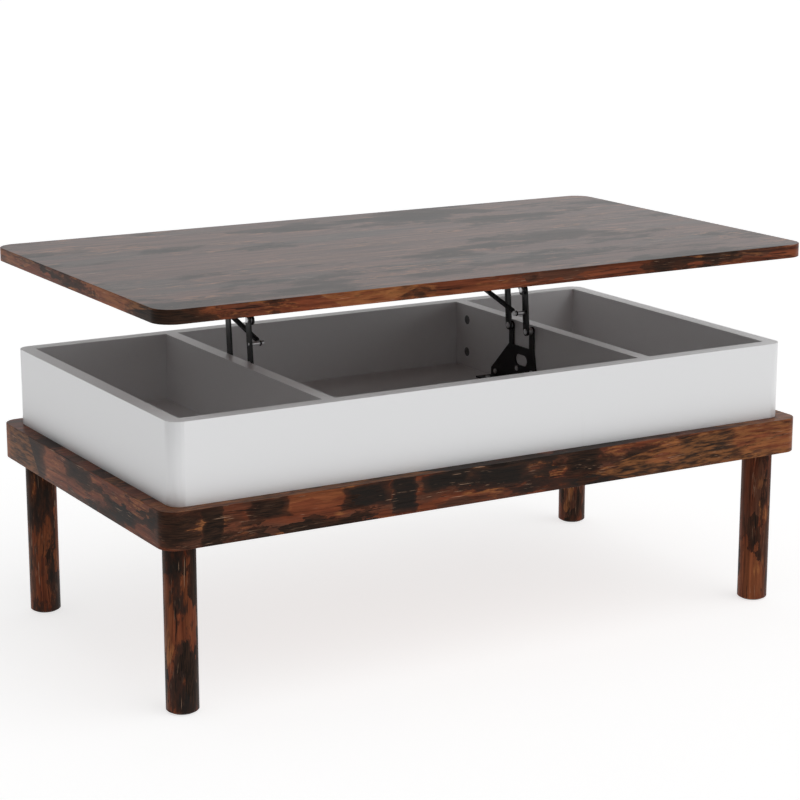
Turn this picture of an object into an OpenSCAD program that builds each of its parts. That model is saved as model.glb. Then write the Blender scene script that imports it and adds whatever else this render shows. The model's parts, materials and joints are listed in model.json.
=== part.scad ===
// Lift top coffee table, shown raised. Origin: floor centre. +X along the length, -Y the user's side, +Z up.

/* [Tabletop] */
// Length of the tabletop and of the base
top_len = 1070; // [980:10:1200]
// Width of the tabletop and of the base
top_wid = 600; // [600:10:700]
// Thickness of the tabletop
top_thk = 20; // [18:1:30]
// Corner radius of the tabletop
top_r = 30; // [10:1:40]

/* [Base] */
// Thickness of the hollow base slab
base_thk = 53; // [40:1:70]
// Corner radius of the base slab
base_r = 25; // [10:1:40]
// Height of the base slab's underside above the floor
leg_h = 243; // [150:1:400]
// Diameter of a leg
leg_d = 46; // [36:1:60]
// Distance of a leg's centre from the end of the base
leg_inset_x = 42; // [36:1:48]
// Distance of a leg's centre from the side of the base
leg_inset_y = 49; // [36:1:56]

/* [Storage box] */
// How far the base stands out past the box, all round
box_step = 21; // [10:1:30]
// Height of the box walls
box_h = 116; // [112:1:160]
// Thickness of the box walls
wall_thk = 22; // [20:1:28]
// Radius of the box's upright outer corners
box_r = 20; // [5:1:20]
// Thickness of the box floor
floor_thk = 12; // [12:1:15]
// Thickness of a divider
divider_thk = 20; // [18:1:24]
// Distance of a divider's middle plane from the centre of the table
divider_x = 266; // [240:1:290]

/* [Lift mechanism] */
// Distance between the two pivots of an arm
arm_len = 67; // [64:0.5:68]
// Angle of a raised arm from upright
arm_lean = 5; // [3:0.5:8]
// Width of an arm
arm_wid = 14; // [12:0.5:15]
// Distance between the front and the back pivot
pivot_gap = 58.5; // [56.5:0.5:60]
// Place of the front lower pivot, back from the centre of the table
pivot_y = 26; // [20:1:34]
// Thickness of the bracket steel
steel_thk = 2.5; // [2:0.1:2.5]
// Radius of a pivot rivet
rivet_r = 3; // [2.5:0.1:3]
// Distance of the spring pin from the lower pivot, along the front arm
pin_reach = 31; // [24:1:32]
// Distance of the spring post behind the front upper pivot
post_reach = 136; // [124:1:138]
// Outer diameter of the spring's coil
spring_d = 8; // [7:0.5:10]

/* [Hidden] */
$fn = 64;

// Colours
rustic = [0.38, 0.20, 0.12];
rustic_edge = [0.46, 0.24, 0.13];
white_paint = [0.92, 0.92, 0.93];
raw_board = [0.72, 0.58, 0.42];
black_steel = [0.06, 0.06, 0.07];
bright_zinc = [0.78, 0.79, 0.80];
dark_zinc = [0.30, 0.30, 0.31];
dowel_wood = [0.80, 0.66, 0.46];
felt = [0.12, 0.10, 0.09];
clear_rubber = [0.75, 0.75, 0.73];

// Clearances
fit_gap = 0.05;
side_gap = 0.1;
hole_spare = 0.5;
overlap = 0.01;

// Levels
base_top = leg_h + base_thk;
floor_top = base_top + floor_thk;
box_top = base_top + box_h;
bumper_h = 1.5;
closed_gap = 0.05;
rise = 2 * arm_len * cos(arm_lean);
top_z = box_top + bumper_h + closed_gap + rise;

// Base slab
band_thk = 1;
skin_thk = 4;
rail_wid = 40;
block_size = 90;
cross_rail_x = 150;
core_z = leg_h + skin_thk;
core_h = base_thk - 2 * skin_thk;
core_len = top_len - 2 * band_thk;
core_wid = top_wid - 2 * band_thk;
core_r = base_r - band_thk;
leg_x = top_len / 2 - leg_inset_x;
leg_y = top_wid / 2 - leg_inset_y;

// Leg fittings
glide_h = 2;
glide_r = 18;
leg_chamfer = 1.5;
leg_bolt_r = 4;
leg_bolt_down = 35;
leg_bolt_up = 22;
insert_r = 6.5;
insert_h = 20;

// Storage box
box_len = top_len - 2 * box_step;
box_wid = top_wid - 2 * box_step;
in_x = box_len / 2 - wall_thk;
in_y = box_wid / 2 - wall_thk;
wall_mid_x = box_len / 2 - wall_thk / 2;
wall_mid_y = box_wid / 2 - wall_thk / 2;
face_x = divider_x - divider_thk / 2;

// Knock-down fittings of the box
cam_r = 7.5;
cam_h = 12.5;
cam_setback = 34;
cam_levels = [37, 91];
cam_slot_wid = 1.6;
cam_slot_len = 9;
cam_slot_depth = 1;
cam_bolt_r = 3;
cam_bolt_head_r = 3.4;
cam_bolt_head_len = 3;
cam_bolt_in_cam = 2;
cam_bolt_in_wall = 11;
dowel_r = 4;
dowel_in_wall = 14;
dowel_in_end = 16;
corner_dowel_levels = [34, 89];
divider_dowel_level = 64;
fixing_r = 3;
fixing_head_r = 5.5;
fixing_head_h = 3.5;
fixing_in_wall = 26;
fixing_x = [-380, 0, 380];
fixing_y = [-90, 90];

// Wood screws of the brackets
screw_r = 2;
screw_head_r = 4;
screw_head_h = 1.8;
screw_grip = 11;

// Pivots: y and z of each, raised
pivot_drop = 9;
lower_z = box_top - pivot_drop;
front_lower = [pivot_y, lower_z];
back_lower = front_lower + [pivot_gap, 0];
arm_step = arm_len * [sin(arm_lean), cos(arm_lean)];
front_upper = front_lower + arm_step;
back_upper = back_lower + arm_step;
spring_pin_at = front_lower + arm_step * pin_reach / arm_len;
spring_post_at = front_upper + [post_reach, 0];
bracket_drop = top_z - front_upper[1];

// Layers of the mechanism, measured from the divider's face towards the middle of the table
arm_thk = 3;
back_arm_d = 5.5;
front_arm_d = 10.5;
upper_plate_d = 16;
spring_d_plane = 29.5;
pin_end_d = 34.5;
head_thk = 1.4;
head_r = 4.5;
head_crown = 0.6;
spacer_r = 5.5;

// Groove pressed in an arm
groove_depth = 0.6;
arm_groove_r = 2.8;
arm_groove_inset = 14;

// Lower bracket. The places of its screws are measured back from the front pivot and up from the box floor
lower_y0 = pivot_y - 17;
lower_y1 = pivot_y + 118;
lower_flange_wid = 32;
lower_toe_h = 14;
lower_ear_r = 6.5;
web_drop = 31;
lower_slot_r = 9;
lower_slot_half = 8;
lower_slot_z = 42;
divider_screws = [[-2, 27], [40, 27], [104, 10]];
floor_screws = [0, 50, 100];
floor_screw_d = 20;

// Upper bracket, measured from the front upper pivot
upper_flange_y0 = 42;
upper_flange_y1 = 148;
upper_flange_wid = 24;
upper_screw_y = [56, 95, 134];
upper_screw_d = 30;
upper_hole_r = 14;
upper_ear_r = 8;
front_arch_drop = 14;
back_arch_drop = 30;
arch_bite = 1;

// Spring pin, spring post and spring
pin_r = 3;
pin_tail_r = 2;
pin_cap_r = 4;
pin_cap_h = 1.5;
groove_r = 2.2;
groove_wid = 3;
hook_wire_r = 0.9;
hook_inner_r = 2.6;
hook_r = hook_inner_r + hook_wire_r;
spring_neck = 10;
spring_span = norm(spring_post_at - spring_pin_at);
spring_angle = atan2(spring_post_at[1] - spring_pin_at[1], spring_post_at[0] - spring_pin_at[0]);

// Tabletop bumpers
bumper_r = 5;
bumper_x = 470;

// ---------- Shared shapes ----------

// Rectangle with round corners, centred
module rounded_rect(length, width, r) {
    square([length - 2 * r, width], center = true);
    square([length, width - 2 * r], center = true);
    for (sx = [-1, 1], sy = [-1, 1])
        translate([sx * (length / 2 - r), sy * (width / 2 - r)]) circle(r);
}

// Bar with round ends between two points
module stadium(from, to, r) {
    step = to - from;
    translate(from) rotate(atan2(step[1], step[0])) {
        translate([0, -r]) square([norm(step), 2 * r]);
        circle(r);
        translate([norm(step), 0]) circle(r);
    }
}

// Upright slab between two levels
module slab(z0, z1) {
    translate([0, 0, z0]) linear_extrude(z1 - z0) children();
}

// Plate whose outline is drawn in y and z, between two x values
module side_plate(x0, x1) {
    translate([x0, 0, 0]) rotate([90, 0, 90]) linear_extrude(x1 - x0) children();
}

// Round rod along x at a y and z
module x_rod(x0, x1, r, at) {
    translate([x0, at[0], at[1]]) rotate([0, 90, 0]) cylinder(h = x1 - x0, r = r);
}

// Round rod along y, centred on x and z
module y_rod(y0, y1, r, x, z) {
    translate([x, y1, z]) rotate([90, 0, 0]) cylinder(h = y1 - y0, r = r);
}

// Round rod along z
module z_rod(z0, z1, r, x, y) {
    translate([x, y, z0]) cylinder(h = z1 - z0, r = r);
}

// Rivet head on a rod along x: flat side at x, crown towards dir
module x_head(x, dir, r, at) {
    translate([x, at[0], at[1]]) rotate([0, 90 * dir, 0]) {
        cylinder(h = head_thk - head_crown, r = r);
        translate([0, 0, head_thk - head_crown]) cylinder(h = head_crown, r1 = r, r2 = r - head_crown);
    }
}

// Tube along x
module x_tube(x0, x1, r, bore_r, at) {
    difference() {
        x_rod(x0, x1, r, at);
        x_rod(x0 - 1, x1 + 1, bore_r, at);
    }
}

// Mechanism frame of the left divider: x = 0 on its inner face, +x towards the middle of the table
module left_side() {
    translate([-face_x, 0, 0]) children();
}

module right_side() {
    mirror([1, 0, 0]) left_side() children();
}

module both_sides() {
    left_side() children();
    right_side() children();
}

// ---------- Legs ----------

module leg(sx, sy) {
    color(rustic) translate([sx * leg_x, sy * leg_y, 0]) difference() {
        union() {
            translate([0, 0, glide_h])
                cylinder(h = leg_chamfer, r1 = leg_d / 2 - leg_chamfer, r2 = leg_d / 2);
            translate([0, 0, glide_h + leg_chamfer])
                cylinder(h = leg_h - glide_h - leg_chamfer, d = leg_d);
        }
        translate([0, 0, leg_h - leg_bolt_down - hole_spare])
            cylinder(h = leg_bolt_down + 1, r = leg_bolt_r + fit_gap);
    }
}

module at_legs() {
    for (sx = [-1, 1], sy = [-1, 1]) translate([sx * leg_x, sy * leg_y, 0]) children();
}

module leg_glides() {
    color(felt) at_legs() cylinder(h = glide_h, r = glide_r);
}

module leg_bolts() {
    color(bright_zinc) at_legs()
        translate([0, 0, leg_h - leg_bolt_down]) cylinder(h = leg_bolt_down + leg_bolt_up, r = leg_bolt_r);
}

module leg_inserts() {
    color(bright_zinc) at_legs() translate([0, 0, core_z]) difference() {
        cylinder(h = insert_h, r = insert_r);
        translate([0, 0, -1]) cylinder(h = insert_h + 2, r = leg_bolt_r + fit_gap);
    }
}

// ---------- Base slab ----------

module core_outline() {
    rounded_rect(core_len, core_wid, core_r);
}

// Runs once at each screw that holds the box on the base
module at_fixings() {
    for (sy = [-1, 1], x = fixing_x) translate([x, sy * wall_mid_y, 0]) children();
    for (sx = [-1, 1], y = fixing_y) translate([sx * wall_mid_x, y, 0]) children();
}

// Clearance holes for those screws, up into the box walls
module fixing_holes() {
    at_fixings() z_rod(leg_h - 1, base_top + fixing_in_wall + hole_spare, fixing_r + fit_gap, 0, 0);
}

module base_top_skin() {
    color(rustic) difference() {
        slab(base_top - skin_thk, base_top) core_outline();
        fixing_holes();
    }
}

module base_bottom_skin() {
    color(rustic) difference() {
        slab(leg_h, core_z) core_outline();
        at_fixings() z_rod(leg_h - 1, core_z + 1, fixing_head_r + hole_spare, 0, 0);
        at_legs() z_rod(leg_h - 1, core_z + 1, leg_bolt_r + fit_gap, 0, 0);
    }
}

// One box-shaped stretch of the core, from one corner to the opposite one
module core_bar(x0, x1, y0, y1) {
    translate([x0, y0, core_z]) cube([x1 - x0, y1 - y0, core_h]);
}

module long_rail(sy) {
    length = core_len - 2 * block_size;
    y0 = sy > 0 ? core_wid / 2 - rail_wid : -core_wid / 2;
    color(raw_board) difference() {
        core_bar(-length / 2, length / 2, y0, y0 + rail_wid);
        fixing_holes();
    }
}

module end_rail(sx) {
    length = core_wid - 2 * block_size;
    x0 = sx > 0 ? core_len / 2 - rail_wid : -core_len / 2;
    color(raw_board) difference() {
        core_bar(x0, x0 + rail_wid, -length / 2, length / 2);
        fixing_holes();
    }
}

module base_cross_rails() {
    reach = core_wid / 2 - rail_wid;
    color(raw_board) for (sx = [-1, 1])
        core_bar(sx * cross_rail_x - rail_wid / 2, sx * cross_rail_x + rail_wid / 2, -reach, reach);
}

module base_corner_blocks() {
    color(raw_board) for (sx = [-1, 1], sy = [-1, 1]) difference() {
        intersection() {
            slab(core_z, core_z + core_h) core_outline();
            translate([sx * (core_len - block_size) / 2, sy * (core_wid - block_size) / 2, base_top / 2])
                cube([block_size, block_size, base_top], center = true);
        }
        z_rod(core_z - 1, core_z + leg_bolt_up + 1, insert_r + fit_gap, sx * leg_x, sy * leg_y);
    }
}

module base_edge_band() {
    color(rustic_edge) slab(leg_h, base_top) difference() {
        rounded_rect(top_len, top_wid, base_r);
        core_outline();
    }
}

// ---------- Storage box ----------

module box_outline() {
    rounded_rect(box_len, box_wid, box_r);
}

// Runs once at each dowel, at the inner face of the front or back wall and turned so +y enters the box
module at_dowels() {
    for (sx = [-1, 1], turn = [0, 180]) rotate(turn) {
        for (level = corner_dowel_levels) translate([sx * wall_mid_x, -in_y, base_top + level]) children();
        translate([sx * divider_x, -in_y, base_top + divider_dowel_level]) children();
    }
}

// Runs once at each cam bolt, placed as the dowels are
module at_cams() {
    for (sx = [-1, 1], turn = [0, 180], level = cam_levels)
        rotate(turn) translate([sx * divider_x, -in_y, base_top + level]) children();
}

// Bores for the dowels and cam bolts on both sides of every joint
module joint_holes() {
    at_dowels() y_rod(-dowel_in_wall - hole_spare, dowel_in_end + hole_spare, dowel_r + fit_gap, 0, 0);
    at_cams() y_rod(-cam_bolt_in_wall - hole_spare, 0, cam_bolt_r + fit_gap, 0, 0);
    at_cams() y_rod(0, cam_setback, cam_bolt_head_r + fit_gap, 0, 0);
}

// Pockets for the cams, sunk from the dividers' inner faces
module cam_pockets() {
    for (sy = [-1, 1], level = cam_levels) both_sides()
        x_rod(-cam_h, 1, cam_r + fit_gap, [sy * (in_y - cam_setback), base_top + level]);
}

module long_panel(sy) {
    y0 = sy > 0 ? in_y : -box_wid / 2;
    color(white_paint) difference() {
        intersection() {
            slab(base_top, box_top) box_outline();
            translate([-box_len / 2, y0, 0]) cube([box_len, wall_thk, box_top + 1]);
        }
        joint_holes();
        fixing_holes();
    }
}

module end_panel(sx) {
    x0 = sx > 0 ? in_x : -box_len / 2;
    color(white_paint) difference() {
        translate([x0, -in_y, base_top]) cube([wall_thk, 2 * in_y, box_h]);
        joint_holes();
        fixing_holes();
    }
}

module box_floor_panel() {
    color(white_paint) difference() {
        translate([-in_x, -in_y, base_top]) cube([2 * in_x, 2 * in_y, floor_thk]);
        floor_screw_holes();
    }
}

module divider(sx) {
    color(white_paint) difference() {
        translate([sx * divider_x - divider_thk / 2, -in_y, floor_top])
            cube([divider_thk, 2 * in_y, box_top - floor_top]);
        joint_holes();
        cam_pockets();
        divider_screw_holes();
    }
}

module cam_locks() {
    color(dark_zinc) for (sy = [-1, 1], level = cam_levels) both_sides()
        cam_lock(sy, [sy * (in_y - cam_setback), base_top + level]);
}

// One cam: a disc with a cross slot in its face and a mouth towards the bolt
module cam_lock(sy, at) {
    difference() {
        x_rod(-cam_h, 0, cam_r, at);
        translate([-divider_thk / 2, at[0], at[1]]) rotate([-90 * sy, 0, 0])
            cylinder(h = cam_r + 1, r = cam_bolt_head_r + fit_gap);
        for (turn = [0, 90]) translate([0, at[0], at[1]]) rotate([turn, 0, 0])
            cube([2 * cam_slot_depth, cam_slot_wid, cam_slot_len], center = true);
    }
}

module cam_bolts() {
    head_y = cam_setback - cam_r + cam_bolt_in_cam;
    color(bright_zinc) at_cams() {
        y_rod(-cam_bolt_in_wall, head_y, cam_bolt_r, 0, 0);
        y_rod(head_y, head_y + cam_bolt_head_len, cam_bolt_head_r, 0, 0);
    }
}

module panel_dowels() {
    color(dowel_wood) at_dowels() y_rod(-dowel_in_wall, dowel_in_end, dowel_r, 0, 0);
}

module box_fixing_screws() {
    color(bright_zinc) at_fixings() {
        z_rod(core_z - fixing_head_h, core_z, fixing_head_r, 0, 0);
        z_rod(core_z, base_top + fixing_in_wall, fixing_r, 0, 0);
    }
}

// ---------- Fixed half of the lift mechanism ----------

// Bore for a rivet through a plate
module rivet_hole(at) {
    x_rod(-1, pin_end_d, rivet_r + fit_gap, at);
}

// Two upright ears on a web with long toes
module lower_bracket_outline() {
    web_top = lower_z - web_drop;
    toe_top = floor_top + lower_toe_h;
    polygon([
        [lower_y0, floor_top], [lower_y1, floor_top], [lower_y1, toe_top],
        [back_lower[0] + lower_ear_r, web_top], [front_lower[0] - lower_ear_r, web_top], [lower_y0, toe_top]
    ]);
    for (pivot = [front_lower, back_lower]) stadium([pivot[0], web_top], pivot, lower_ear_r);
}

module lower_bracket() {
    slot_mid = [pivot_y + pivot_gap / 2, floor_top + lower_slot_z];
    slot_half = [lower_slot_half, 0];
    color(black_steel) difference() {
        union() {
            side_plate(0, steel_thk) lower_bracket_outline();
            translate([0, lower_y0, floor_top]) cube([lower_flange_wid, lower_y1 - lower_y0, steel_thk]);
        }
        rivet_hole(front_lower);
        rivet_hole(back_lower);
        side_plate(-1, steel_thk + 1) stadium(slot_mid - slot_half, slot_mid + slot_half, lower_slot_r);
        divider_screw_shanks(screw_r + fit_gap);
        floor_screw_shanks(screw_r + fit_gap);
    }
}

// Shanks of the screws into the divider, or with a larger radius their holes
module divider_screw_shanks(r) {
    spare = r > screw_r ? hole_spare : 0;
    for (p = divider_screws)
        x_rod(-screw_grip - spare, steel_thk + overlap, r, [pivot_y + p[0], floor_top + p[1]]);
}

module floor_screw_shanks(r) {
    spare = r > screw_r ? hole_spare : 0;
    for (y = floor_screws)
        z_rod(floor_top - screw_grip - spare, floor_top + steel_thk + overlap, r, floor_screw_d, pivot_y + y);
}

module divider_screw_holes() {
    both_sides() divider_screw_shanks(screw_r + fit_gap);
}

module floor_screw_holes() {
    both_sides() floor_screw_shanks(screw_r + fit_gap);
}

module lower_bracket_screws() {
    head_z = floor_top + steel_thk;
    color(bright_zinc) both_sides() {
        divider_screw_shanks(screw_r);
        for (p = divider_screws)
            x_rod(steel_thk, steel_thk + screw_head_h, screw_head_r, [pivot_y + p[0], floor_top + p[1]]);
        floor_screw_shanks(screw_r);
        for (y = floor_screws)
            z_rod(head_z, head_z + screw_head_h, screw_head_r, floor_screw_d, pivot_y + y);
    }
}

// Rivet fixed in the lower bracket, headed past the arm that turns on it
module lower_rivet(arm_d, at) {
    outer = arm_d + arm_thk + side_gap;
    x_rod(side_gap, outer, rivet_r, at);
    x_head(outer, 1, head_r, at);
}

module lower_rivets() {
    color(bright_zinc) {
        lower_rivet(front_arm_d, front_lower);
        lower_rivet(back_arm_d, back_lower);
    }
}

module lower_spacers() {
    color(bright_zinc) {
        x_tube(steel_thk, front_arm_d - side_gap, spacer_r, rivet_r + fit_gap, front_lower);
        x_tube(steel_thk, back_arm_d - side_gap, spacer_r, rivet_r + fit_gap, back_lower);
    }
}

// ---------- Arms and springs ----------

// Flat arm with a pressed groove along its inner face
module arm(arm_d, lower, upper) {
    inset = arm_groove_inset * (upper - lower) / arm_len;
    difference() {
        side_plate(arm_d, arm_d + arm_thk) stadium(lower, upper, arm_wid / 2);
        rivet_hole(lower);
        rivet_hole(upper);
        side_plate(arm_d + arm_thk - groove_depth, arm_d + arm_thk + 1)
            stadium(lower + inset, upper - inset, arm_groove_r);
    }
}

module front_arm() {
    color(black_steel) difference() {
        arm(front_arm_d, front_lower, front_upper);
        x_rod(0, pin_end_d, pin_tail_r + fit_gap, spring_pin_at);
    }
}

module back_arm() {
    color(black_steel) arm(back_arm_d, back_lower, back_upper);
}

// Pin or post that a spring hooks onto: tail through its plate, grooved body, round cap
module spring_peg(plate_d, plate_thk, at) {
    body_d = plate_d + plate_thk;
    color(bright_zinc) {
        x_rod(plate_d + side_gap, body_d, pin_tail_r, at);
        x_rod(body_d, spring_d_plane - groove_wid / 2, pin_r, at);
        x_rod(spring_d_plane - groove_wid / 2, spring_d_plane + groove_wid / 2, groove_r, at);
        x_rod(spring_d_plane + groove_wid / 2, pin_end_d - pin_cap_h, pin_r, at);
        x_rod(pin_end_d - pin_cap_h, pin_end_d, pin_cap_r, at);
    }
}

module spring_pin() {
    spring_peg(front_arm_d, arm_thk, spring_pin_at);
}

module spring_post() {
    spring_peg(upper_plate_d, steel_thk, spring_post_at);
}

// Eye of the spring, round a peg
module spring_eye() {
    rotate_extrude() translate([hook_r, 0]) circle(r = hook_wire_r, $fn = 32);
}

// Tension spring, drawn along +x from the pin, then turned onto the line from pin to post
module spring() {
    color(black_steel) translate([spring_d_plane, spring_pin_at[0], spring_pin_at[1]])
        rotate([spring_angle, 0, 0]) rotate([90, 0, 90]) {
            spring_eye();
            x_rod(hook_r, spring_neck, hook_wire_r, [0, 0]);
            x_rod(spring_neck, spring_span - spring_neck, spring_d / 2, [0, 0]);
            x_rod(spring_span - spring_neck, spring_span - hook_r, hook_wire_r, [0, 0]);
            translate([spring_span, 0, 0]) spring_eye();
        }
}

// ---------- Tabletop and the moving half of the mechanism ----------

// Side plate of the upper bracket: three ears under a wide plate, arched between the ears
module upper_bracket_outline() {
    front_arch = [pivot_gap / 2, -front_arch_drop];
    back_arch = [(pivot_gap + post_reach) / 2, -back_arch_drop];
    translate(front_upper) difference() {
        union() {
            polygon([
                [-upper_ear_r / 2, 0], [upper_flange_y0, bracket_drop],
                [upper_flange_y1, bracket_drop], [post_reach + upper_ear_r, 0],
                [post_reach, -upper_ear_r], [0, -upper_ear_r]
            ]);
            for (y = [0, pivot_gap, post_reach]) translate([y, 0]) circle(upper_ear_r);
        }
        translate(front_arch) circle(norm(front_arch) - upper_ear_r + arch_bite);
        translate(back_arch) circle(norm(back_arch - [pivot_gap, 0]) - upper_ear_r + arch_bite);
        translate([(upper_flange_y0 + upper_flange_y1) / 2, bracket_drop / 2]) circle(upper_hole_r);
    }
}

module upper_bracket() {
    flange_y = front_upper[0] + upper_flange_y0;
    color(black_steel) difference() {
        union() {
            side_plate(upper_plate_d, upper_plate_d + steel_thk) upper_bracket_outline();
            translate([upper_plate_d, flange_y, top_z - steel_thk])
                cube([upper_flange_wid, upper_flange_y1 - upper_flange_y0, steel_thk]);
        }
        rivet_hole(front_upper);
        rivet_hole(back_upper);
        x_rod(0, pin_end_d, pin_tail_r + fit_gap, spring_post_at);
        upper_screw_shanks(screw_r + fit_gap);
    }
}

module upper_screw_shanks(r) {
    spare = r > screw_r ? hole_spare : 0;
    for (y = upper_screw_y)
        z_rod(top_z - steel_thk - overlap, top_z + screw_grip + spare, r, upper_screw_d, front_upper[0] + y);
}

module upper_bracket_screws() {
    head_z = top_z - steel_thk - screw_head_h;
    color(bright_zinc) both_sides() {
        upper_screw_shanks(screw_r);
        for (y = upper_screw_y)
            z_rod(head_z, head_z + screw_head_h, screw_head_r, upper_screw_d, front_upper[0] + y);
    }
}

// Rivet fixed in the upper bracket, with a head on each side
module upper_rivet(arm_d, at) {
    inner = arm_d - side_gap;
    outer = upper_plate_d + steel_thk;
    x_rod(inner, outer, rivet_r, at);
    x_head(inner, -1, head_r, at);
    x_head(outer, 1, head_r, at);
}

module upper_rivets() {
    color(bright_zinc) {
        upper_rivet(front_arm_d, front_upper);
        upper_rivet(back_arm_d, back_upper);
    }
}

module upper_spacers() {
    color(bright_zinc) {
        x_tube(front_arm_d + arm_thk + side_gap, upper_plate_d, spacer_r, rivet_r + fit_gap, front_upper);
        x_tube(back_arm_d + arm_thk + side_gap, upper_plate_d, spacer_r, rivet_r + fit_gap, back_upper);
    }
}

module board_outline() {
    rounded_rect(core_len, core_wid, top_r - band_thk);
}

module tabletop_board() {
    color(rustic) difference() {
        slab(top_z, top_z + top_thk) board_outline();
        both_sides() upper_screw_shanks(screw_r + fit_gap);
    }
}

module tabletop_edge_band() {
    color(rustic_edge) slab(top_z, top_z + top_thk) difference() {
        rounded_rect(top_len, top_wid, top_r);
        board_outline();
    }
}

module tabletop_bumpers() {
    color(clear_rubber) for (sx = [-1, 1], sy = [-1, 1])
        z_rod(top_z - bumper_h, top_z, bumper_r, sx * bumper_x, sy * wall_mid_y);
}

// ---------- Nodes ----------

leg(-1, -1);  // front_left_leg
leg(1, -1);  // front_right_leg
leg(-1, 1);  // back_left_leg
leg(1, 1);  // back_right_leg
leg_glides();
leg_bolts();
leg_inserts();
base_top_skin();
base_bottom_skin();
long_rail(-1);  // base_front_rail
long_rail(1);  // base_back_rail
end_rail(-1);  // base_left_rail
end_rail(1);  // base_right_rail
base_cross_rails();
base_corner_blocks();
base_edge_band();
long_panel(-1);  // box_front_panel
long_panel(1);  // box_back_panel
end_panel(-1);  // box_left_panel
end_panel(1);  // box_right_panel
box_floor_panel();
divider(-1);  // left_divider
divider(1);  // right_divider
cam_locks();
cam_bolts();
panel_dowels();
box_fixing_screws();
left_side() lower_bracket();  // left_lower_bracket
right_side() lower_bracket();  // right_lower_bracket
lower_bracket_screws();
left_side() lower_rivets();  // left_lower_rivets
right_side() lower_rivets();  // right_lower_rivets
left_side() lower_spacers();  // left_lower_spacers
right_side() lower_spacers();  // right_lower_spacers
left_side() front_arm();  // left_front_arm
right_side() front_arm();  // right_front_arm
left_side() back_arm();  // left_back_arm
right_side() back_arm();  // right_back_arm
left_side() spring_pin();  // left_spring_pin
right_side() spring_pin();  // right_spring_pin
left_side() spring();  // left_spring
right_side() spring();  // right_spring
left_side() spring_post();  // left_spring_post
right_side() spring_post();  // right_spring_post
left_side() upper_bracket();  // left_upper_bracket
right_side() upper_bracket();  // right_upper_bracket
upper_bracket_screws();
left_side() upper_rivets();  // left_upper_rivets
right_side() upper_rivets();  // right_upper_rivets
left_side() upper_spacers();  // left_upper_spacers
right_side() upper_spacers();  // right_upper_spacers
tabletop_board();
tabletop_edge_band();
tabletop_bumpers();
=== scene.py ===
import json
import math

import bmesh
import bpy
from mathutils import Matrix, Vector


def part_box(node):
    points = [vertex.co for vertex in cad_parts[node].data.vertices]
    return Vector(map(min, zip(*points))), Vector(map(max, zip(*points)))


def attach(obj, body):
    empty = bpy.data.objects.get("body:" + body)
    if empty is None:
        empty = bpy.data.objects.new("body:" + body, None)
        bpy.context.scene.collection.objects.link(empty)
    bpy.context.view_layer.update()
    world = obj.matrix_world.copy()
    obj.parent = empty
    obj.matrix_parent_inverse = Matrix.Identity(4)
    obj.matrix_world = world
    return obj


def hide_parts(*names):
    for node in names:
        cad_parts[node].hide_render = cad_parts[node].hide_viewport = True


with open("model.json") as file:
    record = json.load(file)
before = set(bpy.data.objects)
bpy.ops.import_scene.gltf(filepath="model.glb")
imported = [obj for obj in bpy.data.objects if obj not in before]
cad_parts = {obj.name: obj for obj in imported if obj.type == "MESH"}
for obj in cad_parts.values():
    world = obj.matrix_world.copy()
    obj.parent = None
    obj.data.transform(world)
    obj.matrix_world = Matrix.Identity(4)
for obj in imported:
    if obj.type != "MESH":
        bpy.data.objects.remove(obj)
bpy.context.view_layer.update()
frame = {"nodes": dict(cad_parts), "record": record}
NODES = frame["nodes"]
MM = 0.001


# ---------- Node materials ----------

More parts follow.
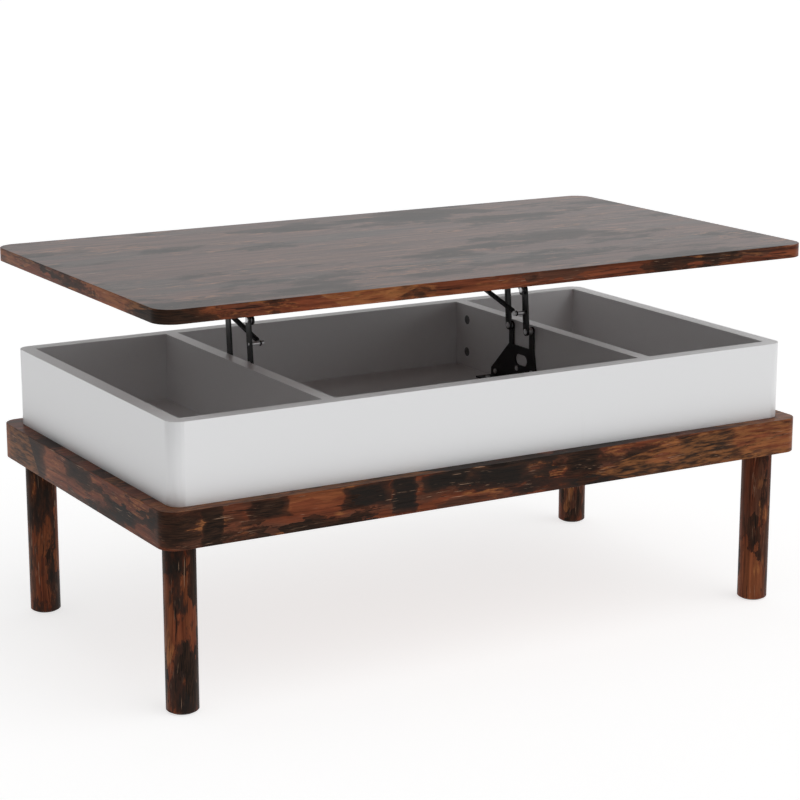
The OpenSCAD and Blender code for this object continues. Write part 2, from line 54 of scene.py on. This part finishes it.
class Shader:
    """A node material in the making. A socket given as an input is linked, and a value is set."""

    def __init__(self, name):
        self.mat = bpy.data.materials.new(name)
        self.mat.use_nodes = True
        self.nodes = self.mat.node_tree.nodes
        self.links = self.mat.node_tree.links
        self.nodes.clear()
        self.out = self.nodes.new("ShaderNodeOutputMaterial")
        self.bsdf = self.add("ShaderNodeBsdfPrincipled")
        self.links.new(self.bsdf.outputs["BSDF"], self.out.inputs["Surface"])

    def set(self, node, inputs):
        for key, value in inputs.items():
            socket = node.inputs[key]
            if isinstance(value, bpy.types.NodeSocket):
                self.links.new(value, socket)
            else:
                socket.default_value = value

    def add(self, kind, inputs=None, **props):
        node = self.nodes.new(kind)
        for key, value in props.items():
            setattr(node, key, value)
        self.set(node, inputs or {})
        return node

    def surface(self, **inputs):
        """Inputs of the Principled BSDF, with _ for a space in their names."""
        self.set(self.bsdf, {key.replace("_", " "): value for key, value in inputs.items()})

    def coords(self, kind, scale=(1, 1, 1), turn=(0, 0, 0)):
        """Object or UV coordinates in metres, scaled and turned."""
        source = self.add("ShaderNodeTexCoord").outputs[kind]
        return self.mapped(source, scale, turn=turn)

    def mapped(self, vector, scale=(1, 1, 1), at=(0, 0, 0), turn=(0, 0, 0)):
        inputs = {"Vector": vector, "Location": at, "Rotation": turn, "Scale": scale}
        return self.add("ShaderNodeMapping", inputs).outputs["Vector"]

    def noise(self, vector, scale=1.0, detail=4.0, rough=0.5, output="Fac"):
        inputs = {"Vector": vector, "Scale": scale, "Detail": detail, "Roughness": rough}
        return self.add("ShaderNodeTexNoise", inputs).outputs[output]

    def colour_noise(self, vector, detail):
        """Three noises in one, as a vector."""
        return self.noise(vector, detail=detail, output="Color")

    def vector(self, what, a, b=(0, 0, 0), c=(0, 0, 0)):
        return self.add("ShaderNodeVectorMath", {0: a, 1: b, 2: c}, operation=what).outputs["Vector"]

    def length(self, a):
        return self.add("ShaderNodeVectorMath", {0: a}, operation="LENGTH").outputs["Value"]

    def ramp(self, value, stops):
        """Colour ramp. A stop is (place, grey) or (place, (r, g, b))."""
        node = self.add("ShaderNodeValToRGB", {"Fac": value})
        elements = node.color_ramp.elements
        while len(elements) < len(stops):
            elements.new(0.5)
        for element, (place, colour) in zip(elements, stops):
            element.position = place
            grey = isinstance(colour, (int, float))
            element.color = (colour, colour, colour, 1) if grey else (*colour, 1)
        return node.outputs["Color"]

    def math(self, what, a, b, c=0.0):
        return self.add("ShaderNodeMath", {0: a, 1: b, 2: c}, operation=what).outputs[0]

    def mix(self, factor, a, b, blend="MIX"):
        node = self.add("ShaderNodeMix", data_type="RGBA", blend_type=blend)
        colours = [v if isinstance(v, bpy.types.NodeSocket) else (*v, 1) for v in (a, b)]
        self.set(node, {0: factor, 6: colours[0], 7: colours[1]})
        return node.outputs[2]

    def pick(self, colour):
        """The three channels of a colour, as outputs Red, Green and Blue."""
        return self.add("ShaderNodeSeparateColor", {"Color": colour}).outputs

    def bump(self, height, strength, distance):
        inputs = {"Height": height, "Strength": strength, "Distance": distance}
        return self.add("ShaderNodeBump", inputs).outputs["Normal"]


# Hues of the printed wood
BROWN = (0.080, 0.031, 0.018)
RED = (0.142, 0.036, 0.0155)
ORANGE = (0.190, 0.057, 0.022)
GOLD = (0.33, 0.125, 0.042)
PALE = (0.42, 0.26, 0.17)
# Char in its pores and on its fibres, the greyish char of some blocks, the two tones of a knot, and cracks
SOOT = (0.0085, 0.0058, 0.0042)
SOOT_FIBRE = (0.040, 0.020, 0.012)
GREY_SOOT = (0.0125, 0.0125, 0.0115)
KNOT = (0.008, 0.0085, 0.010)
KNOT_FLECK = (0.030, 0.021, 0.017)
CRACK = (0.010, 0.0065, 0.005)
# Turn that lays the pattern's long direction along an axis
GRAIN_TURN = {"X": (0, 0, 0), "Z": (0, math.pi / 2, 0)}


class Grain:
    """Coordinates and fine noises that all layers of one printed wood share."""

    def __init__(self, s, place):
        self.s = s
        self.place = place
        sway = s.noise(self.stretched(2.4, 9), detail=2)
        sideways = s.add("ShaderNodeCombineXYZ", {"Y": sway, "Z": sway}).outputs[0]
        self.wander = s.vector("MULTIPLY_ADD", sideways, (0.035, 0.035, 0.035), place)
        streak = s.noise(self.swayed(4.0, 150), detail=7, rough=0.66)
        self.fibre = s.noise(self.swayed(22, 950), detail=3, rough=0.6)
        self.tone = s.math("MULTIPLY_ADD", streak, 0.66, s.math("MULTIPLY", self.fibre, 0.34))
        self.flecks = s.noise(self.swayed(34, 230), detail=4, rough=0.6)

    def stretched(self, along, across):
        """Straight coordinates with so many units to a metre along and across the grain."""
        return self.s.mapped(self.place, scale=(along, across, across))

    def swayed(self, along, across):
        """The same for coordinates that wander a little sideways, as grain does."""
        return self.s.mapped(self.wander, scale=(along, across, across))


def rustic(name, kind, along, seed, dark=0.5, bright=1.0, patch=1.0, blocks=1.0, roughness=0.36,
           specular=0.06, stains=()):
    """Printed rustic board: red-brown grain with charred blocks, golden flecks, knots, cracks and scratches.

    kind is Object or UV, along is the axis that the grain follows, and seed the place in the pattern.
    dark is the share of charred wood, and bright how strongly the grain's tone lightens the wood. patch
    scales the large figure, and blocks is how far its blocks differ. A stain is a charred block at a set
    place: (place along, place across, half length, half height, depth)."""
    s = Shader(name)
    still = s.coords(kind, turn=GRAIN_TURN[along])
    grain = Grain(s, s.mapped(still, at=seed))
    block = block_colours(s, grain, patch)
    plain = plain_wood(s, grain, block, patch, blocks, bright)
    char = char_figure(s, grain, block, patch, blocks)
    for spot in stains:
        char = s.math("MAXIMUM", char, stain(s, still, grain, *spot))
    start = 0.84 - 0.14 * dark
    depth = s.ramp(char, [(start - 0.012, 0.0), (start + 0.014, 0.74), (start + 0.10, 0.97)])
    wood = s.mix(golden_rim(s, grain, char, start), plain, GOLD)
    wood = s.mix(depth, wood, soot(s, grain, block))
    wood = knots(s, grain, wood, patch)
    crack = s.ramp(s.noise(grain.swayed(13, 260), detail=3, rough=0.6), [(0.625, 0.0), (0.665, 0.85)])
    wood = s.mix(crack, wood, CRACK)
    wood = s.mix(scratches(s, grain, patch), wood, PALE)

    gloss = s.math("MULTIPLY_ADD", grain.tone, -0.14, roughness + 0.07)
    gloss = s.math("MULTIPLY_ADD", depth, 0.05, gloss)
    height = s.math("SUBTRACT", s.math("MULTIPLY", grain.tone, 0.6), s.math("MULTIPLY", crack, 0.5))
    s.surface(Base_Color=wood, Roughness=gloss, Normal=s.bump(height, 0.30, 0.00020),
              Specular_IOR_Level=specular)
    return s.mat


def block_colours(s, grain, patch):
    """Blocks with straight, upright, ragged ends. Each has a random red, green and blue."""
    tatter = s.colour_noise(grain.swayed(20, 75), detail=5)
    ragged = s.vector("MULTIPLY_ADD", tatter, (1.1, 0.8, 0.8), grain.stretched(6.0 * patch, 19 * patch))
    inputs = {"Vector": ragged, "Scale": 1.0}
    block = s.add("ShaderNodeTexVoronoi", inputs, feature="F1", distance="CHEBYCHEV")
    return s.pick(block.outputs["Color"])


def plain_wood(s, grain, block, patch, blocks, bright):
    """Brown, red and orange wood. The hue follows the blocks and a slow drift, and the level the grain."""
    drift = s.noise(grain.swayed(4.2 * patch, 17 * patch), detail=6, rough=0.62)
    hue = s.math("MULTIPLY_ADD", drift, 0.82, 0.10 - 0.10 * blocks)
    hue = s.math("MULTIPLY_ADD", block["Red"], 0.20 * blocks, hue)
    wood = s.ramp(hue, [(0.40, BROWN), (0.50, RED), (0.64, ORANGE)])
    level = s.math("MAXIMUM", s.math("MULTIPLY_ADD", grain.tone, 4.4 * bright, -1.3 * bright), 0.3)
    return s.mix(1.0, wood, level, "MULTIPLY")


def char_figure(s, grain, block, patch, blocks):
    """How charred the print is at each place. Some blocks lean to it more than others."""
    figure = s.noise(grain.swayed(5.0 * patch, 15 * patch), detail=9, rough=0.66)
    figure = s.math("ADD", figure, 0.10 - 0.10 * blocks)
    char = s.math("MULTIPLY_ADD", block["Green"], 0.20 * blocks, figure)
    return s.math("MULTIPLY_ADD", grain.tone, 0.28, char)


def stain(s, still, grain, along, across, half_length, half_height, depth):
    """A charred block at a set place, ragged along its rim. The answer is on the scale of the char figure."""
    tatter = s.colour_noise(s.mapped(grain.place, scale=(26, 75, 75)), detail=6)
    reach = Vector((0.030, 0.020, 0.0))
    loose = s.vector("MULTIPLY_ADD", tatter, reach, still)
    away = s.vector("SUBTRACT", loose, Vector((along, across, 0.0)) + reach / 2)
    away = s.vector("ABSOLUTE", s.vector("MULTIPLY", away, (1 / half_length, 1 / half_height, 0.0)))
    sides = s.add("ShaderNodeSeparateXYZ", {"Vector": away})
    far = s.math("MAXIMUM", sides.outputs["X"], sides.outputs["Y"])
    middle = s.math("MULTIPLY_ADD", grain.tone, 0.16, 0.94 + 0.1 * depth)
    return s.math("MULTIPLY_ADD", far, -0.30, middle)


def soot(s, grain, block):
    """Black char with brown fibres. Some blocks are greyer."""
    colour = s.mix(s.ramp(grain.fibre, [(0.42, 0.0), (0.62, 1.0)]), SOOT, SOOT_FIBRE)
    return s.mix(s.ramp(block["Blue"], [(0.55, 0.0), (0.62, 0.75)]), colour, GREY_SOOT)


def golden_rim(s, grain, char, start):
    """Golden flecks in places along the rim of the char, which begins at start."""
    rim = s.ramp(char, [(start - 0.10, 0.0), (start - 0.03, 1.0), (start + 0.004, 0.3)])
    spread = s.ramp(s.noise(grain.stretched(9, 26), detail=2), [(0.50, 0.0), (0.60, 1.0)])
    flecks = s.ramp(grain.flecks, [(0.50, 0.0), (0.57, 0.85)])
    return s.math("MULTIPLY", s.math("MULTIPLY", rim, spread), flecks)


def knots(s, grain, wood, patch):
    """Upright knots here and there, each a dark oval with a golden rim."""
    along, across = 3.4 * patch, 11 * patch
    half_length, half_height = 0.010, 0.021
    cell = grain.stretched(along, across)
    eye = s.add("ShaderNodeTexVoronoi", {"Vector": cell, "Scale": 1.0}, feature="F1")
    off = s.vector("SUBTRACT", cell, eye.outputs["Position"])
    upright = 1 / (half_height * across)
    off = s.vector("MULTIPLY", off, (1 / (half_length * along), upright, upright))
    away = s.math("MULTIPLY_ADD", s.noise(grain.stretched(70, 45), detail=4), 0.9, s.length(off))
    chosen = s.ramp(s.pick(eye.outputs["Color"])["Red"], [(0.70, 0.0), (0.71, 1.0)])
    knot = s.math("MULTIPLY", chosen, s.ramp(away, [(0.92, 0.93), (1.04, 0.0)]))
    halo = s.math("MULTIPLY", chosen, s.ramp(away, [(1.04, 0.6), (1.28, 0.0)]))
    wood = s.mix(s.math("MULTIPLY", halo, s.ramp(grain.flecks, [(0.42, 0.1), (0.60, 1.0)])), wood, GOLD)
    inside = s.mix(s.ramp(grain.flecks, [(0.45, 0.0), (0.62, 1.0)]), KNOT, KNOT_FLECK)
    return s.mix(knot, wood, inside)


def scratches(s, grain, patch):
    """Pale scratches, nearly along the grain, where the board is worn."""
    worn = s.ramp(s.noise(grain.stretched(11 * patch, 34 * patch), detail=2), [(0.50, 0.0), (0.60, 1.0)])
    slant = 0.05
    scratch = s.noise(s.mapped(grain.wander, scale=(26, 700, 700), turn=(0, 0, slant)), detail=2)
    return s.math("MULTIPLY", s.ramp(scratch, [(0.645, 0.0), (0.69, 0.7)]), worn)


def white_paint():
    """Satin white paint on smooth board, with faint roller texture and handling marks."""
    s = Shader("white_paint")
    place = s.coords("Object")
    cloud = s.noise(place, scale=4.0, detail=3)
    fine = s.noise(place, scale=900.0, detail=2)
    scuff = s.noise(s.mapped(place, scale=(60, 60, 9)), detail=6, rough=0.7)
    scuff = s.ramp(scuff, [(0.62, 0.0), (0.80, 0.10)])
    colour = s.mix(cloud, (0.838, 0.841, 0.850), (0.858, 0.861, 0.868))
    colour = s.mix(scuff, colour, (0.60, 0.58, 0.56))
    gloss = s.math("MULTIPLY_ADD", cloud, 0.10, 0.34)
    s.surface(Base_Color=colour, Roughness=gloss, Normal=s.bump(fine, 0.10, 0.00004), Specular_IOR_Level=0.45)
    return s.mat


def powder_steel(name, base, chip):
    """Black powder coat: fine orange peel, dusty tone changes and a few rubbed spots."""
    s = Shader(name)
    place = s.coords("Object")
    peel = s.noise(place, scale=1500.0, detail=2)
    dust = s.noise(place, scale=55.0, detail=5, rough=0.65)
    rubbed = s.ramp(s.noise(place, scale=240.0, detail=5, rough=0.7), [(0.66, 0.0), (0.74, chip)])
    colour = s.mix(s.ramp(dust, [(0.35, 0.0), (0.75, 0.5)]), base, (0.026, 0.026, 0.028))
    colour = s.mix(rubbed, colour, (0.20, 0.20, 0.205))
    gloss = s.math("MULTIPLY_ADD", dust, 0.22, 0.30)
    s.surface(Base_Color=colour, Roughness=gloss, Metallic=0.0, Normal=s.bump(peel, 0.22, 0.00006),
              Specular_IOR_Level=0.32)
    return s.mat


def zinc(name, light, shade, roughness):
    """Plated steel with brushed streaks and cloudy dulling."""
    s = Shader(name)
    place = s.coords("Object")
    streak = s.noise(s.mapped(place, scale=(300, 2400, 2400)), detail=3)
    cloud = s.noise(place, scale=180.0, detail=4, rough=0.6)
    colour = s.mix(cloud, light, shade)
    gloss = s.math("MULTIPLY_ADD", streak, 0.20, s.math("MULTIPLY_ADD", cloud, 0.12, roughness - 0.14))
    s.surface(Base_Color=colour, Roughness=gloss, Metallic=1.0, Normal=s.bump(streak, 0.10, 0.00003))
    return s.mat


def particle_board():
    """Raw chipboard: pressed flakes of a few tans."""
    s = Shader("raw_board")
    place = s.coords("Object")
    flakes = s.add("ShaderNodeTexVoronoi", {"Vector": s.mapped(place, scale=(260, 260, 420)), "Scale": 1.0},
                   feature="F1")
    speck = s.noise(place, scale=520.0, detail=4, rough=0.7)
    colour = s.mix(flakes.outputs["Distance"], (0.62, 0.46, 0.29), (0.40, 0.27, 0.155))
    colour = s.mix(s.ramp(speck, [(0.56, 0.0), (0.72, 0.6)]), colour, (0.24, 0.15, 0.085))
    s.surface(Base_Color=colour, Roughness=s.math("MULTIPLY_ADD", speck, 0.15, 0.74),
              Normal=s.bump(flakes.outputs["Distance"], 0.35, 0.0004))
    return s.mat


def beech():
    """Bare dowel wood, grain along the dowel."""
    s = Shader("dowel_wood")
    streak = s.noise(s.coords("Object", scale=(700, 30, 700)), detail=4, rough=0.6)
    colour = s.ramp(streak, [(0.3, (0.40, 0.25, 0.13)), (0.7, (0.68, 0.50, 0.31))])
    s.surface(Base_Color=colour, Roughness=s.math("MULTIPLY_ADD", streak, 0.12, 0.62),
              Normal=s.bump(streak, 0.3, 0.0001))
    return s.mat


def felt():
    """Dark pressed felt."""
    s = Shader("felt")
    place = s.coords("Object")
    fuzz = s.noise(place, scale=1800.0, detail=6, rough=0.75)
    colour = s.ramp(fuzz, [(0.35, (0.030, 0.024, 0.020)), (0.70, (0.095, 0.078, 0.064))])
    s.surface(Base_Color=colour, Roughness=s.math("MULTIPLY_ADD", fuzz, 0.10, 0.88),
              Normal=s.bump(fuzz, 0.7, 0.0004), Sheen_Weight=0.3)
    return s.mat


def soft_plastic():
    """Clear soft bumper, milky with a little bloom."""
    s = Shader("clear_rubber")
    bloom = s.noise(s.coords("Object"), scale=700.0, detail=4)
    colour = s.mix(bloom, (0.62, 0.62, 0.60), (0.50, 0.50, 0.475))
    s.surface(Base_Color=colour, Roughness=s.math("MULTIPLY_ADD", bloom, 0.15, 0.28),
              Normal=s.bump(bloom, 0.15, 0.0001), Specular_IOR_Level=0.5)
    return s.mat


# Charred blocks of the base's left side and front, as places in its edge band
BASE_STAINS = [
    (-0.470, 0.028, 0.085, 0.034, 0.3),
    (-0.270, 0.040, 0.055, 0.016, 0.3),
    (-0.110, 0.018, 0.045, 0.014, 0.3),
    (0.083, 0.026, 0.014, 0.030, 1.0),
    (0.168, 0.041, 0.038, 0.018, 0.3),
    (0.320, 0.036, 0.045, 0.020, 0.4),
    (0.379, 0.032, 0.018, 0.026, 1.0),
    (0.450, 0.042, 0.050, 0.014, 0.3),
    (0.535, 0.036, 0.052, 0.019, 0.5),
    (0.680, 0.036, 0.034, 0.022, 0.5),
    (0.905, 0.030, 0.062, 0.026, 0.3),
]

MATERIALS = {
    "rustic_top": rustic("rustic_top", "Object", "X", (0.7, 0.2, 0.0), dark=0.45, bright=0.62, patch=0.62,
                         blocks=0.35, roughness=0.30, specular=0.12),
    "rustic_base": rustic("rustic_base", "Object", "X", (2.3, 0.9, 0.4), dark=0.5, patch=0.8),
    "rustic_edge": rustic("rustic_edge", "UV", "X", (5.2, 1.4, 0.0), dark=0.30, bright=1.12,
                          stains=BASE_STAINS),
    "rustic_leg": rustic("rustic_leg", "Object", "Z", (0.4, 3.3, 1.9), dark=0.84, patch=1.3),
    "white_paint": white_paint(),
    "black_steel": powder_steel("black_steel", (0.007, 0.007, 0.008), 0.3),
    "spring_steel": powder_steel("spring_steel", (0.012, 0.012, 0.013), 0.8),
    "bright_zinc": zinc("bright_zinc", (0.93, 0.93, 0.94), (0.76, 0.77, 0.79), 0.34),
    "cam_zinc": zinc("cam_zinc", (0.30, 0.30, 0.305), (0.20, 0.20, 0.205), 0.55),
    "raw_board": particle_board(),
    "dowel_wood": beech(),
    "felt": felt(),
    "clear_rubber": soft_plastic(),
}


# ---------- Mesh tools ----------

# Thickness of the edge bands, and the radius of their eased arrises
BAND_THICKNESS = 1 * MM
BAND_EASING = 0.9 * MM
# Corner radii of the two boards
TABLETOP_CORNER = 30 * MM
BASE_CORNER = 25 * MM


def rounded_outline(length, width, radius, steps=12):
    """Points of a rectangle with round corners, anticlockwise from the left end of the back side."""
    points = []
    for corner in (3, 0, 1, 2):
        sx = (-1, 1, 1, -1)[corner]
        sy = (-1, -1, 1, 1)[corner]
        centre = Vector((sx * (length / 2 - radius), sy * (width / 2 - radius), 0))
        start = math.pi + corner * math.pi / 2
        for i in range(steps + 1):
            angle = start + i * math.pi / 2 / steps
            points.append(centre + radius * Vector((math.cos(angle), math.sin(angle), 0)))
    return points


def outward(points, i):
    """Outward direction of a closed anticlockwise outline at one of its points."""
    before = points[i] - points[i - 1]
    after = points[(i + 1) % len(points)] - points[i]
    normal = Vector((before.y, -before.x, 0)).normalized() + Vector((after.y, -after.x, 0)).normalized()
    return normal.normalized()


def finished_piece(name, mesh, slot):
    """Turns a bmesh into an object with its slot's material."""
    bmesh.ops.recalc_face_normals(mesh, faces=mesh.faces)
    data = bpy.data.meshes.new(name)
    mesh.to_mesh(data)
    mesh.free()
    piece = bpy.data.objects.new(name, data)
    bpy.context.scene.collection.objects.link(piece)
    piece.data.materials.append(MATERIALS[slot])
    return piece


def band_profile(bottom, top):
    """Section of an edge band as (offset outwards, height), from its inner bottom corner round the outside.

    Its two outer arrises are eased, and its outer face lies at offset 0."""
    steps = 4
    lower = [(-BAND_THICKNESS, bottom), (-BAND_EASING, bottom)]
    for i in range(1, steps + 1):
        angle = i * math.pi / 2 / steps
        rise = BAND_EASING * (1 - math.cos(angle))
        lower.append((BAND_EASING * (math.sin(angle) - 1), bottom + rise))
    return lower + [(offset, bottom + top - z) for offset, z in reversed(lower)]


def edge_band(name, node, radius, slot, body, print_from=0.0):
    """Band wrapped round a board: a ring with eased arrises, and UVs in metres from the front left corner on.

    print_from is the place across the printed pattern at which the band's lower edge starts."""
    lo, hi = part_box(node)
    outline = rounded_outline(hi.x - lo.x, hi.y - lo.y, radius)
    centre = Vector(((hi.x + lo.x) / 2, (hi.y + lo.y) / 2, 0))
    profile = band_profile(lo.z, hi.z)
    mesh = bmesh.new()
    uv = mesh.loops.layers.uv.new("band")
    rings = []
    for i, point in enumerate(outline):
        normal = outward(outline, i)
        ring = [centre + point + normal * offset + Vector((0, 0, z)) for offset, z in profile]
        rings.append([mesh.verts.new(place) for place in ring])
    # The outline starts at the back left, so its first stretch has negative places
    left_side = radius * math.pi / 2 + hi.y - lo.y - 2 * radius
    travelled = [-left_side]
    for i in range(len(outline)):
        travelled.append(travelled[-1] + (outline[(i + 1) % len(outline)] - outline[i]).length)
    across = [print_from]
    for (a, za), (b, zb) in zip(profile, profile[1:]):
        across.append(across[-1] + math.hypot(b - a, zb - za))
    across.append(across[-1] + (hi.z - lo.z))
    for i in range(len(rings)):
        j = (i + 1) % len(rings)
        for k in range(len(profile)):
            m = (k + 1) % len(profile)
            face = mesh.faces.new((rings[i][k], rings[j][k], rings[j][m], rings[i][m]))
            corners = [(i, k), (i + 1, k), (i + 1, k + 1), (i, k + 1)]
            for loop, (along, over) in zip(face.loops, corners):
                loop[uv].uv = (travelled[along], across[over])
            face.smooth = True
    piece = finished_piece(name, mesh, slot)
    sharpen(piece, 50)
    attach(piece, body)
    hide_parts(node)


def sharpen(piece, degrees):
    """Smooth shading with edges sharper than the angle kept crisp."""
    piece.data.shade_smooth()
    piece.data.set_sharp_from_angle(angle=math.radians(degrees))


def tube(name, path, radius, slot, sides):
    """Round wire along a list of points, capped at both ends."""
    mesh = bmesh.new()
    rings = []
    side = None
    for i, point in enumerate(path):
        ahead = (path[min(i + 1, len(path) - 1)] - path[max(i - 1, 0)]).normalized()
        if side is None:
            side = ahead.orthogonal().normalized()
        side = (side - ahead * side.dot(ahead)).normalized()
        up = ahead.cross(side)
        turns = [2 * math.pi * k / sides for k in range(sides)]
        ring = [point + radius * (math.cos(turn) * side + math.sin(turn) * up) for turn in turns]
        rings.append([mesh.verts.new(place) for place in ring])
    for a, b in zip(rings, rings[1:]):
        for k in range(sides):
            mesh.faces.new((a[k], a[(k + 1) % sides], b[(k + 1) % sides], b[k])).smooth = True
    mesh.faces.new(list(reversed(rings[0])))
    mesh.faces.new(rings[-1])
    return finished_piece(name, mesh, slot)


# ---------- Carried-over CAD nodes ----------

def finish_nodes():
    """Each CAD node gets its slot's material and a weld, and the nodes of some slots a small bevel that
    catches the light.
    """
    slots = {part["node"]: part["material_slot"] for part in frame["record"]["subparts"]}
    bevels = {"white_paint": 0.35, "black_steel": 0.3, "rustic_leg": 0.8, "bright_zinc": 0.2,
              "cam_zinc": 0.25, "clear_rubber": 0.4, "felt": 0.4}
    for name, piece in NODES.items():
        slot = slots[name]
        piece.data.materials.clear()
        piece.data.materials.append(MATERIALS[slot])
        weld = piece.modifiers.new("weld", "WELD")
        weld.merge_threshold = 0.00001
        if slot in bevels:
            bevel = piece.modifiers.new("bevel", "BEVEL")
            bevel.width = bevels[slot] * MM
            bevel.segments = 2
            bevel.limit_method = "ANGLE"
            bevel.angle_limit = math.radians(40)
            bevel.harden_normals = True


# ---------- Springs ----------

WIRE = 0.9 * MM
# Radius of an eye's centre line, and the distance from its centre to the first full turn of the coil
EYE = 3.5 * MM
NECK = 10 * MM
# Distance between turns, as a share of the wire's radius: nearly closed
PITCH = 2.12
POINTS_PER_TURN = 18
EYE_STEPS = 28
# Angle at which an eye starts, and the gap that it leaves open, in radians
EYE_START = 0.25
EYE_GAP = 0.5
# How far the wire stands off the axis where it leaves the eye
NECK_LIFT = 0.4 * MM
# Radius with which the coil starts and ends, as a share of its full radius
COIL_START = 0.12


def spring(side):
    """Close-wound tension spring with a hook eye at each end, in the space of its CAD solid."""
    node = f"{side}_spring"
    lo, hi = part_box(node)
    x = (lo.x + hi.x) / 2
    ends = []
    for peg in (f"{side}_spring_pin", f"{side}_spring_post"):
        low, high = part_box(peg)
        ends.append(Vector((x, (low.y + high.y) / 2, (low.z + high.z) / 2)))
    start, end = ends
    axis = (end - start).normalized()
    across = Vector((1, 0, 0))
    lift = across.cross(axis)
    coil = (hi.x - lo.x) / 2 - WIRE
    span = (end - start).length - 2 * NECK
    steps = round(span / (PITCH * WIRE)) * POINTS_PER_TURN

    def eye_points(centre, direction):
        """Round loop in the plane of the axis, its gap on the side of the coil."""
        points = []
        for i in range(EYE_STEPS + 1):
            turn = EYE_START + (2 * math.pi - EYE_GAP) * i / EYE_STEPS
            points.append(centre + EYE * (math.cos(turn) * axis * direction + math.sin(turn) * lift))
        return points

    neck_middle = (EYE + NECK) / 2
    path = list(reversed(eye_points(start, 1)))
    path.append(start + axis * neck_middle + lift * NECK_LIFT)
    for i in range(steps + 1):
        turn = 2 * math.pi * i / POINTS_PER_TURN + math.pi / 2
        # Half a turn at each end grows from the neck to the full coil
        grown = min(1.0, i / (POINTS_PER_TURN * 0.5), (steps - i) / (POINTS_PER_TURN * 0.5))
        radius = coil * (COIL_START + (1 - COIL_START) * math.sin(grown * math.pi / 2))
        middle = start + axis * NECK + axis * (span * i / steps)
        path.append(middle + radius * (math.cos(turn) * across + math.sin(turn) * lift))
    path.append(end - axis * neck_middle + lift * NECK_LIFT)
    path += eye_points(end, -1)
    piece = tube(f"{side}_spring_coil", path, WIRE, "spring_steel", sides=8)
    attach(piece, node)
    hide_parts(node)


# ---------- Stage, light and camera ----------

FLOOR_HALF_SIZE = 60.0
# The floor lies just under the glides, and glows a little so that it comes out nearly white
FLOOR_Z = -0.0004
FLOOR_GLOW = 0.70
# Radiance of the dome: low down on average, how it grows towards the back right, and overhead
HORIZON = 0.82
BACKDROP = Vector((0.68, 0.22))
ZENITH = 0.40
# Where the dome starts and ends its fade from low down to overhead, as sines of the elevation
FADE_FROM = 0.22
FADE_TO = 0.62
# Where the soft sun stands as seen from the table, its strength and its width in degrees
SUN_AT = (0.35, -0.55, 1.0)
SUN_STRENGTH = 0.70
SUN_WIDTH = 60
# Camera: its place, its heading from +Y towards +X and its pitch downwards in degrees, and its lens in mm
CAMERA_AT = (-1.711, -2.932, 1.127)
CAMERA_HEADING = 30.22
CAMERA_PITCH = 13.28
CAMERA_LENS = 102.4


def stage():
    """Large pale floor under the glides."""
    mesh = bpy.data.meshes.new("floor")
    turns = ((-1, -1), (1, -1), (1, 1), (-1, 1))
    corners = [(x * FLOOR_HALF_SIZE, y * FLOOR_HALF_SIZE, FLOOR_Z) for x, y in turns]
    mesh.from_pydata(corners, [], [(0, 1, 2, 3)])
    floor = bpy.data.objects.new("floor", mesh)
    bpy.context.scene.collection.objects.link(floor)
    s = Shader("floor")
    cloud = s.noise(s.coords("Object"), scale=0.8, detail=2)
    s.surface(Base_Color=s.mix(cloud, (0.55, 0.55, 0.55), (0.56, 0.56, 0.56)), Roughness=0.9,
              Specular_IOR_Level=0.0, Emission_Color=(1, 1, 1, 1), Emission_Strength=FLOOR_GLOW)
    floor.data.materials.append(s.mat)


def lights():
    """Plain soft studio: a pale dome, brightest low down behind the table, and one broad soft sun."""
    world = bpy.data.worlds.new("studio")
    bpy.context.scene.world = world
    world.use_nodes = True
    nodes = world.node_tree.nodes
    links = world.node_tree.links
    nodes.clear()

    def math_node(what, a, b, c=0.0):
        node = nodes.new("ShaderNodeMath")
        node.operation = what
        for i, value in enumerate((a, b, c)):
            if isinstance(value, bpy.types.NodeSocket):
                links.new(value, node.inputs[i])
            else:
                node.inputs[i].default_value = value
        return node.outputs[0]

    split = nodes.new("ShaderNodeSeparateXYZ")
    links.new(nodes.new("ShaderNodeTexCoord").outputs["Generated"], split.inputs[0])
    behind = math_node("MULTIPLY_ADD", split.outputs["X"], BACKDROP.x, HORIZON)
    behind = math_node("MULTIPLY_ADD", split.outputs["Y"], BACKDROP.y, behind)
    height = nodes.new("ShaderNodeMapRange")
    height.interpolation_type = "SMOOTHSTEP"
    links.new(split.outputs["Z"], height.inputs["Value"])
    for key, value in (("From Min", FADE_FROM), ("From Max", FADE_TO)):
        height.inputs[key].default_value = value
    fade = nodes.new("ShaderNodeMix")
    links.new(height.outputs["Result"], fade.inputs[0])
    links.new(behind, fade.inputs[2])
    fade.inputs[3].default_value = ZENITH
    background = nodes.new("ShaderNodeBackground")
    links.new(fade.outputs[0], background.inputs["Strength"])
    output = nodes.new("ShaderNodeOutputWorld")
    links.new(background.outputs[0], output.inputs["Surface"])

    sun = bpy.data.lights.new("sun", "SUN")
    sun.energy = SUN_STRENGTH
    sun.angle = math.radians(SUN_WIDTH)
    lamp = bpy.data.objects.new("sun", sun)
    bpy.context.scene.collection.objects.link(lamp)
    lamp.rotation_euler = Vector(SUN_AT).to_track_quat("Z", "Y").to_euler()


def camera():
    """The photograph's viewing angle: front left, slightly above, with a long lens."""
    lens = bpy.data.cameras.new("camera")
    lens.sensor_width = 36
    lens.lens = CAMERA_LENS
    lens.clip_end = 200
    view = bpy.data.objects.new("camera", lens)
    bpy.context.scene.collection.objects.link(view)
    view.location = CAMERA_AT
    view.rotation_euler = (math.radians(90 - CAMERA_PITCH), 0, math.radians(-CAMERA_HEADING))
    bpy.context.scene.camera = view


camera()
finish_nodes()
edge_band("tabletop_band", "tabletop_edge_band", TABLETOP_CORNER, "rustic_edge", "tabletop", print_from=0.3)
edge_band("base_band", "base_edge_band", BASE_CORNER, "rustic_edge", "root")
for side in ("left", "right"):
    spring(side)
stage()
lights()
bpy.context.scene.view_settings.view_transform = "Standard"
